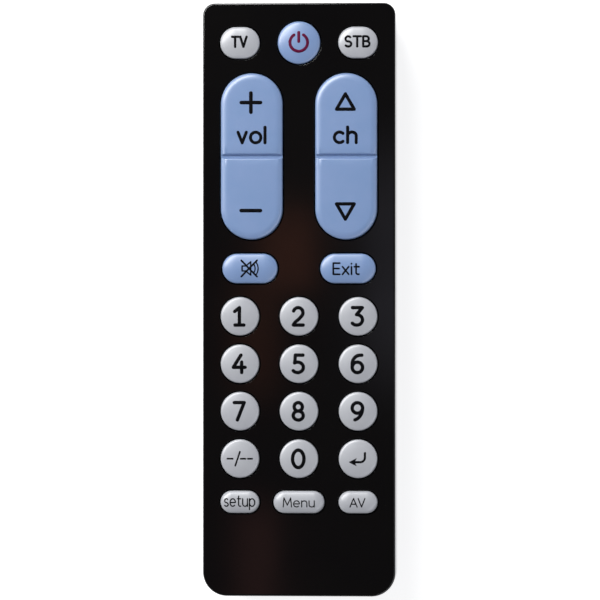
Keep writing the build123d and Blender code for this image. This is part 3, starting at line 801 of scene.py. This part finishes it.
# a plain drawn alphabet: strokes on a grid where a capital's height is 1 and a small letter's is low
low = 0.68
arch = bow(0.24, low - 0.24, 0.24, 0.24, 180, 0) + [(0.48, 0)]
alphabet = {
    "0": [bow(0.3, 0.5, 0.3, 0.5, 90, 450)],
    "1": [[(0.06, 0.78), (0.34, 1)], [(0.34, 1), (0.34, 0)], [(0.08, 0), (0.6, 0)]],
    "2": [bow(0.3, 0.71, 0.27, 0.29, 160, -30) + [(0.36, 0.36), (0.12, 0.16), (0.03, 0)],
          [(0.03, 0), (0.58, 0)]],
    "3": [[(0.02, 1), (0.55, 1)], [(0.55, 1), (0.24, 0.6)], bow(0.25, 0.3, 0.31, 0.3, 92, -140)],
    "4": [[(0.4, 1), (0, 0.3)], [(0, 0.3), (0.62, 0.3)], [(0.44, 0.6), (0.44, 0)]],
    "5": [[(0.12, 1), (0.52, 1)], [(0.12, 1), (0.1, 0.56)], bow(0.24, 0.3, 0.3, 0.3, 122, -140)],
    "6": [bow(0.3, 0.3, 0.28, 0.3, 0, 360),
          [(0.54, 1)] + bow(0.46, 0.48, 0.44, 0.52, 92, 180) + [(0.02, 0.3)]],
    "7": [[(0.03, 1), (0.57, 1)], [(0.57, 1), (0.2, 0)]],
    "8": [bow(0.3, 0.76, 0.23, 0.24, 0, 360), bow(0.3, 0.26, 0.28, 0.26, 0, 360)],
    "9": [bow(0.3, 0.7, 0.28, 0.3, 0, 360), bow(0.04, 0.7, 0.54, 0.7, 284, 360)],
    "v": [[(0, low), (0.24, 0)], [(0.24, 0), (0.48, low)]],
    "o": [bow(0.3, low / 2, 0.3, low / 2, 0, 360)],
    "l": [[(0, 1), (0, 0)]],
    "c": [bow(0.29, low / 2, 0.29, low / 2, 48, 312)],
    "h": [[(0, 1), (0, 0)], arch],
    "n": [[(0, low), (0, 0)], arch],
    "s": [bow(0.18, low * 0.74, 0.16, low * 0.26, 40, 270)
          + bow(0.18, low * 0.24, 0.19, low * 0.24, 84, -145)],
    "e": [[(0.02, low / 2), (0.54, low / 2)], bow(0.28, low / 2, 0.27, low / 2, 0, 312)],
    "t": [[(0, low), (0.34, low)], [(0.13, 0.92), (0.13, 0.3)] + bow(0.28, 0.16, 0.15, 0.16, 180, 290)],
    "u": [[(0, low), (0, 0.4)] + bow(0.24, 0.24, 0.24, 0.24, 190, 360), [(0.48, low), (0.48, 0)]],
    "p": [[(0, low), (0, -0.3)], bow(0.27, low / 2, 0.27, low / 2, 0, 360)],
    "x": [[(0, low), (0.44, 0)], [(0, 0), (0.44, low)]],
    "i": [[(0, low), (0, 0)], [(0, 0.94), (0, 0.96)]],
    "T": [[(0, 1), (0.62, 1)], [(0.31, 1), (0.31, 0)]],
    "V": [[(0, 1), (0.31, 0)], [(0.31, 0), (0.62, 1)]],
    "A": [[(0, 0), (0.33, 1)], [(0.33, 1), (0.66, 0)], [(0.13, 0.34), (0.53, 0.34)]],
    "S": [bow(0.26, 0.75, 0.23, 0.25, 40, 270) + bow(0.26, 0.25, 0.26, 0.25, 84, -145)],
    "B": [[(0, 1), (0, 0)], [(0, 1)] + bow(0.25, 0.76, 0.22, 0.24, 90, -90) + [(0, 0.52)],
          [(0, 0.52)] + bow(0.27, 0.26, 0.26, 0.26, 90, -90) + [(0, 0)]],
    "E": [[(0, 1), (0, 0)], [(0, 1), (0.46, 1)], [(0, 0.52), (0.42, 0.52)], [(0, 0), (0.46, 0)]],
    "M": [[(0, 0), (0.07, 1)], [(0.07, 1), (0.38, 0.2)], [(0.38, 0.2), (0.69, 1)], [(0.69, 1), (0.76, 0)]],
}


# strokes of a word, set letter by letter and fitted to a width and to a height above its base line
def lettering(word, place, width, height, weight, gap=0.2):
    paths, pen = [], 0.0
    for letter in word:
        letterPaths = [np.array(path, float) for path in alphabet[letter]]
        left = min(path[:, 0].min() for path in letterPaths)
        paths += [path + [pen - left, 0] for path in letterPaths]
        pen = max(path[:, 0].max() for path in paths) + gap
    scale = np.array([(width - weight) / (pen - gap), height - weight])
    start = np.array(place) + [(weight - width) / 2, weight / 2]
    return strokes([path * scale + start for path in paths], weight)


# adds points along a polygon's sides, so that none is longer than the grid
def refined(polygon):
    run = np.roll(polygon, -1, axis=0) - polygon
    parts = np.maximum(np.ceil(np.hypot(run[:, 0], run[:, 1]) / ink["grid"]), 1).astype(int)
    side = np.repeat(np.arange(len(polygon)), parts)
    step = np.arange(len(side)) - np.repeat(np.cumsum(parts) - parts, parts)
    return polygon[side] + run[side] * (step / parts[side])[:, None]


# flat triangles that cover a set of polygons, which may overlap: their sides and a fine grid of points are
# triangulated together, and the triangles whose middles lie in a polygon are kept, with the points they use
def coverPolygons(polygons):
    polygons = [refined(polygon) for polygon in polygons]
    spread = np.concatenate(polygons)
    low, high = spread.min(axis=0), spread.max(axis=0)
    x, y = np.meshgrid(np.arange(low[0], high[0], ink["grid"]), np.arange(low[1], high[1], ink["grid"]))
    corners, place = np.unique(spread.round(5), axis=0, return_inverse=True)
    starts = np.cumsum([0] + [len(polygon) for polygon in polygons])
    sides = [place.ravel()[a:b] for a, b in zip(starts, starts[1:])]
    sides = np.concatenate([np.column_stack([side, np.roll(side, -1)]) for side in sides])
    sides, uses = np.unique(np.sort(sides, axis=1), axis=0, return_counts=True)
    outline = sides[(uses == 1) & (sides[:, 0] != sides[:, 1])]
    points = np.concatenate([corners, np.column_stack([x.ravel(), y.ravel()])])
    flat, faces = triangulated(points, outline)
    middles = flat[faces].mean(axis=1)
    inside = np.any([insidePolygon(middles, polygon) for polygon in polygons], axis=0)
    used, faces = np.unique(faces[inside], return_inverse=True)
    return flat[used], faces.reshape(-1, 3).tolist()


# one film of ink on a key, lifted onto the key's crown at every point
def inkFilm(node, polygons, finish):
    shape, form = keyShapes[node], formOf(node)
    flat, faces = coverPolygons(polygons)
    flat = flat + [shape["x"], shape["middle"]]
    depth = depthInside(shape, flat[:, 0], flat[:, 1])
    if node.startswith("rocker"):
        fromGroove = np.abs(flat[:, 1] - shape["middle"]) - groove["width"] / 2
        depth = np.minimum(depth, fromGroove / form["lipShare"])
    z = shape["top"] - form["inkRoom"] - topDrop(depth, shape["reach"], form) + ink["lift"]
    film = solid("legend_" + node, (np.column_stack([flat, z]), faces), closed=False, weld=ink["weld"])
    thicken = film.modifiers.new("film", "SOLIDIFY")
    thicken.thickness, thicken.offset = ink["thick"] * millimetre, -1
    return dress(film, finish, node)


def lines(*points):
    return [list(pair) for pair in zip(points, points[1:])]


upward = lines((-2.35, -1.9), (2.05, -1.9), (-0.15, 1.9), (-2.35, -1.9))
speaker = lines((-1.9, -0.62), (-1.0, -0.62), (0.25, -1.65), (0.25, 1.65), (-1.0, 0.62), (-1.9, 0.62),
                (-1.9, -0.62))
hook = [(1.75, 1.45), (1.75, 0.5)] + bow(0.55, 0.4, 1.2, 1.2, -5, -90) + [(-1.3, -0.8)]
legends = {
    "rocker_volume": strokes([[(-2.54, 13.36), (2.24, 13.36)], [(-0.15, 10.97), (-0.15, 15.75)]], 0.92)
    + lettering("vol", (0, 2.97), 7.5, 4.64, 0.78, 0.24) + strokes([[(-2.57, -13.49), (2.23, -13.49)]], 0.92),
    "rocker_channel": strokes([[(x, y + 13.55) for x, y in side] for side in upward], 0.84)
    + lettering("ch", (-0.17, 2.97), 6.2, 4.64, 0.78, 0.26)
    + strokes([[(x, -y - 13.75) for x, y in side] for side in upward], 0.84),
    "key_power": strokes([bow(0, 0, 2.2, 2.2, 122, 418), [(0, 2.5), (0, 0.2)]], 0.74),
    "key_tv": lettering("TV", (-0.1, -1.35), 4.24, 3.1, 0.6),
    "key_box": lettering("STB", (-0.1, -1.35), 6.5, 3.1, 0.56),
    "key_mute": strokes(speaker, 0.36)
    + strokes([[(-2.1, -2.0), (1.8, 2.0)], [(-2.1, 2.0), (1.8, -2.0)]], 0.46)
    + strokes([bow(-0.4, 0, 1.75, 1.75, -42, 42), bow(-0.4, 0, 2.5, 2.5, -38, 38)], 0.32),
    "key_exit": lettering("Exit", (-0.4, -1.67), 6.83, 3.2, 0.43),
    "key_dash": strokes([[(-3.1, 0), (-1.75, 0)], [(-1.1, -1.72), (0.05, 1.72)], [(0.25, 0), (1.45, 0)],
                         [(2.0, 0), (3.1, 0)]], 0.42),
    "key_return": strokes([hook], 0.56)
    + [np.array([(-2.3, -0.8), (-0.3, -1.8), (-0.75, -0.8), (-0.3, 0.2)])],
    "key_setup": lettering("setup", (0.0, -1.2), 7.8, 3.05, 0.31),
    "key_menu": lettering("Menu", (0.0, -1.3), 8.0, 2.5, 0.27),
    "key_av": lettering("AV", (-0.1, -1.3), 4.0, 2.4, 0.29, 0.1),
}
figure = {
    "place": -0.12, "height": 5.2, "weight": 0.87,
    "widths": (3.7, 3.15, 3.3, 3.4, 3.8, 3.4, 3.45, 3.35, 3.35, 3.45),
}
place = (figure["place"], -figure["height"] / 2)
for number, width in zip("0123456789", figure["widths"]):
    legends["key_" + number] = lettering(number, place, width, figure["height"], figure["weight"])
for node, polygons in legends.items():
    inkFilm(node, polygons, "crimsonInk" if node == "key_power" else "blackInk")
print("legends made")

# Stage: a pale floor that is white to the camera and in reflections, and keeps the object's shadow
sweep = {"half": 2, "drop": 0.0002, "paper": "#eeeeee", "glow": 0.74}  # half its width and its drop in metres
scene = bpy.context.scene
half, under = sweep["half"], -sweep["drop"]
corners = [(-half, -half, under), (half, -half, under), (half, half, under), (-half, half, under)]
floorMesh = bpy.data.meshes.new("studioFloor")
floorMesh.from_pydata(corners, [], [[0, 1, 2, 3]])
floorPiece = newObject("studioFloor", floorMesh)
floorMaterial = bpy.data.materials.new("paperSweep")  # matt white paper
tree = emptyTree(floorMaterial)
rays = addNode(tree, "LightPath").outputs
seen = reckoned(tree, "MAXIMUM", rays["Is Camera Ray"], rays["Is Glossy Ray"])
seen = reckoned(tree, "MAXIMUM", seen, rays["Is Transmission Ray"])
paper = addNode(tree, "BsdfDiffuse", {"Color": linear(sweep["paper"])})
glow = addNode(tree, "Emission", {"Color": (1, 1, 1, 1)},
               {"Strength": reckoned(tree, "MULTIPLY", seen, number=sweep["glow"])})
both = addNode(tree, "AddShader", links={0: paper.outputs[0], 1: glow.outputs[0]})
clear = addNode(tree, "BsdfTransparent")
facing = addNode(tree, "NewGeometry").outputs["Backfacing"]
shown = addNode(tree, "MixShader", links={0: facing, 1: both.outputs[0], 2: clear.outputs[0]})
addNode(tree, "OutputMaterial", links={"Surface": shown.outputs[0]})
floorPiece.data.materials.append(floorMaterial)

# World: pale near the horizon and dark overhead, so that the gloss face stays black seen from above. Straight
# overhead stand a few dim bars, three warm and one cool, like a dark room's things in a gloss face. Each has
# its start and end sideways and lengthways in the looking direction, and its soft border both ways
sky = {
    "horizon": "#f2f4f8", "overhead": "#292628", "climb": 0.75, "strength": 0.7,
    "zenith": (0.97, 0.99),  # the bars fade in between these heights of the looking direction
    "breakScale": (45.0, 22.0, 1.0), "breaks": (0.35, 0.6), "dimmed": 0.6,  # noise that breaks up their light
}
bars = [
    {"sides": ((-0.0665, -0.0533), (0.003, 0.0224)), "soft": (0.0015, 0.002), "colour": (0.75, 0.26, 0.15)},
    {"sides": ((-0.0732, -0.0632), (-0.023, 0.004)), "soft": (0.0015, 0.007), "colour": (0.62, 0.21, 0.11)},
    {"sides": ((-0.0722, -0.0632), (-0.09, -0.051)), "soft": (0.0015, 0.003), "colour": (0.75, 0.31, 0.27)},
    {"sides": ((-0.0405, -0.02), (-0.016, 0.033)), "soft": (0.0045, 0.016), "colour": (0.5, 0.49, 0.6)},
]
world = bpy.data.worlds.new("studioRoom")
scene.world = world
tree = emptyTree(world)
direction = addNode(tree, "TexCoord").outputs["Generated"]
sideways, lengthways, upwards = addNode(tree, "SeparateXYZ", links={0: direction}).outputs
smooth = {"interpolation_type": "SMOOTHSTEP"}
climb = mapped(tree, upwards, 0.0, sky["climb"], smooth)
room = coloured(tree, climb, linear(sky["horizon"]), linear(sky["overhead"]))
drawn = addNode(tree, "Mapping", {"Scale": sky["breakScale"]}, {"Vector": direction})
breaks = addNode(tree, "TexNoise", {"Scale": 1.0, "Detail": 3.0, "Roughness": 0.4},
                 {"Vector": drawn.outputs[0]})
broken = mapped(tree, breaks.outputs[0], *sky["breaks"], {"To Min": sky["dimmed"]})
zenith = mapped(tree, upwards, *sky["zenith"])
for bar in bars:
    amount = reckoned(tree, "MULTIPLY", broken, zenith)
    for along, (start, end), soft in zip((sideways, lengthways), bar["sides"], bar["soft"]):
        off = reckoned(tree, "ABSOLUTE", reckoned(tree, "SUBTRACT", along, number=(start + end) / 2))
        inside = mapped(tree, off, (end - start) / 2 + soft, (end - start) / 2 - soft, smooth)
        amount = reckoned(tree, "MULTIPLY", amount, inside)
    room = coloured(tree, amount, room, (*bar["colour"], 1.0))
background = addNode(tree, "Background", {"Strength": sky["strength"]}, {"Color": room})
addNode(tree, "OutputWorld", links={"Surface": background.outputs[0]})

# Lamps: place and size in metres, power in watts; each one points at the face's middle. The strip lamp lies
# across the corner between the left and the nose, so that edges on both sides catch it. Both stand so high
# that the gloss face doesn't mirror them in low views from its sides
lamps = {
    "stripLamp": {"place": (-0.345, 0.395, 0.545), "size": (0.8, 0.12), "power": 6.5, "colour": "#ffffff"},
    "rimLamp": {"place": (0.38, -0.32, 0.5), "size": (0.8, 0.14), "power": 1.0, "colour": "#f4f7ff"},
}
faceMiddle = Vector((0, 0, 0.019))
for name, lamp in lamps.items():
    light = bpy.data.lights.new(name, "AREA")
    light.shape = "RECTANGLE"
    light.size, light.size_y = lamp["size"]
    light.energy, light.color = lamp["power"], linear(lamp["colour"])[:3]
    holder = newObject(name, light)
    holder.location = lamp["place"]
    holder.rotation_euler = (faceMiddle - holder.location).to_track_quat("-Z", "Y").to_euler()

# Camera: a long lens about a metre above, a little to the right of square on, as the photograph's slight
# slant of the keys shows
view = {
    "distance": 1.0, "right": 0.057, "target": (0.0002, -0.00009, 0.0185), "across": 0.1491,
    "sensor": 36, "clip": (0.05, 10),  # the sensor's width is in millimetres, the rest in metres
}
cameraData = bpy.data.cameras.new("camera")
cameraData.sensor_width = view["sensor"]
cameraData.lens = view["sensor"] * view["distance"] / view["across"]
cameraData.clip_start, cameraData.clip_end = view["clip"]
camera = newObject("camera", cameraData)
camera.location = Vector(view["target"]) + Vector((view["right"], 0, view["distance"]))
camera.rotation_euler = (0, math.atan2(view["right"], view["distance"]), 0)
scene.camera = camera
scene.view_settings.view_transform = "Standard"
print("stage, lamps and camera placed")
